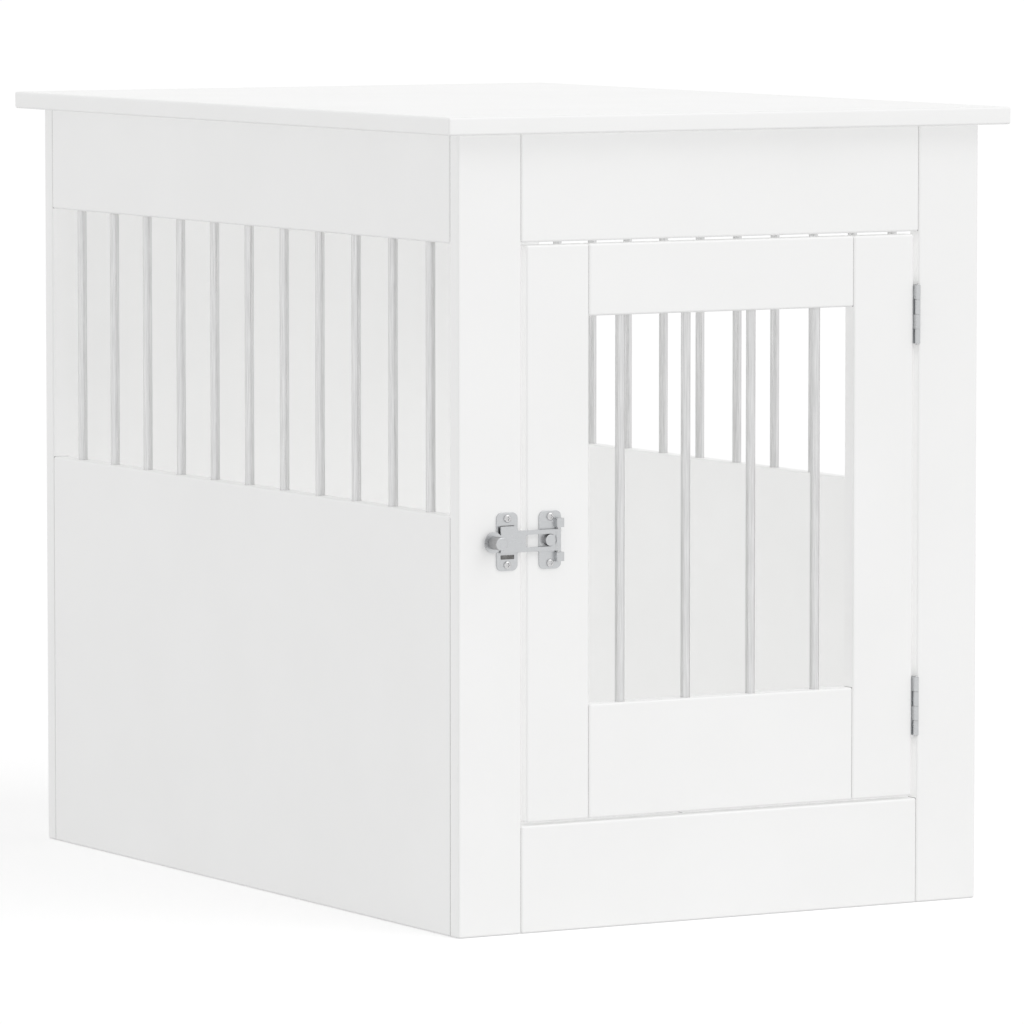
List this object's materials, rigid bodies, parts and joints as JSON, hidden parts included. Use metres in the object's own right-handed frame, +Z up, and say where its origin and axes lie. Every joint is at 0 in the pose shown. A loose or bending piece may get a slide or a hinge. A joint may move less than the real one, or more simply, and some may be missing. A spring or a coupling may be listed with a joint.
{
  "type": "dog crate end table",
  "caption": "White dog crate that serves as an end table, with barred sides, a hinged barred door, a strap latch and an overhanging top.",
  "frame": {"origin": "on the floor, under the middle of the table top", "axes": "+X to the right seen from the door side, +Y from the door to the back, +Z up"},
  "size_m": [0.55, 0.8, 0.68],
  "materials": {
    "white_board": "white laminated engineered wood, satin",
    "bar_steel": "drawn steel, lengthwise grain",
    "plate_steel": "stamped steel, satin nickel",
    "screw_steel": "bright zinc plate",
    "cam_zinc": "zinc die casting"
  },
  "bodies": {
    "cabinet": {"back_panel": "white_board", "floor_panel": "white_board", "front_bottom_rail": "white_board", "front_left_stile": "white_board", "front_right_stile": "white_board", "front_top_rail": "white_board", "keeper_screw_lower": "screw_steel", "keeper_screw_upper": "screw_steel", "latch_keeper_plate": "plate_steel", "left_back_cam": "cam_zinc", "left_bar_01": "bar_steel", "left_bar_02": "bar_steel", "left_bar_03": "bar_steel", "left_bar_04": "bar_steel", "left_bar_05": "bar_steel", "left_bar_06": "bar_steel", "left_bar_07": "bar_steel", "left_bar_08": "bar_steel", "left_bar_09": "bar_steel", "left_bar_10": "bar_steel", "left_bar_11": "bar_steel", "left_front_cam": "cam_zinc", "left_lower_panel": "white_board", "left_top_panel": "white_board", "lower_hinge_frame_leaf": "plate_steel", "lower_hinge_pin": "screw_steel", "right_back_cam": "cam_zinc", "right_bar_01": "bar_steel", "right_bar_02": "bar_steel", "right_bar_03": "bar_steel", "right_bar_04": "bar_steel", "right_bar_05": "bar_steel", "right_bar_06": "bar_steel", "right_bar_07": "bar_steel", "right_bar_08": "bar_steel", "right_bar_09": "bar_steel", "right_bar_10": "bar_steel", "right_bar_11": "bar_steel", "right_front_cam": "cam_zinc", "right_lower_panel": "white_board", "right_top_panel": "white_board", "table_top": "white_board", "upper_hinge_frame_leaf": "plate_steel", "upper_hinge_pin": "screw_steel"},
    "door": {"door_bar_1": "bar_steel", "door_bar_2": "bar_steel", "door_bar_3": "bar_steel", "door_bar_4": "bar_steel", "door_bottom_rail": "white_board", "door_left_stile": "white_board", "door_plate_screw_lower": "screw_steel", "door_plate_screw_upper": "screw_steel", "door_right_stile": "white_board", "door_top_rail": "white_board", "latch_door_plate": "plate_steel", "latch_pin": "screw_steel", "lower_hinge_door_leaf": "plate_steel", "upper_hinge_door_leaf": "plate_steel"},
    "latch": {"latch_strap": "plate_steel", "latch_knob": "plate_steel"}
  },
  "joints": [
    {"name": "door_hinge", "type": "hinge", "parent": "cabinet", "child": "door", "pos_m": [0.1925, -0.38225, 0.3325], "axis": [0, 0, 1], "range_deg": [0, 170]},
    {"name": "latch_swing", "type": "hinge", "parent": "door", "child": "latch", "pos_m": [-0.162, -0.3841, 0.328], "axis": [0, 0, 1], "range_deg": [0, 165]}
  ]
}
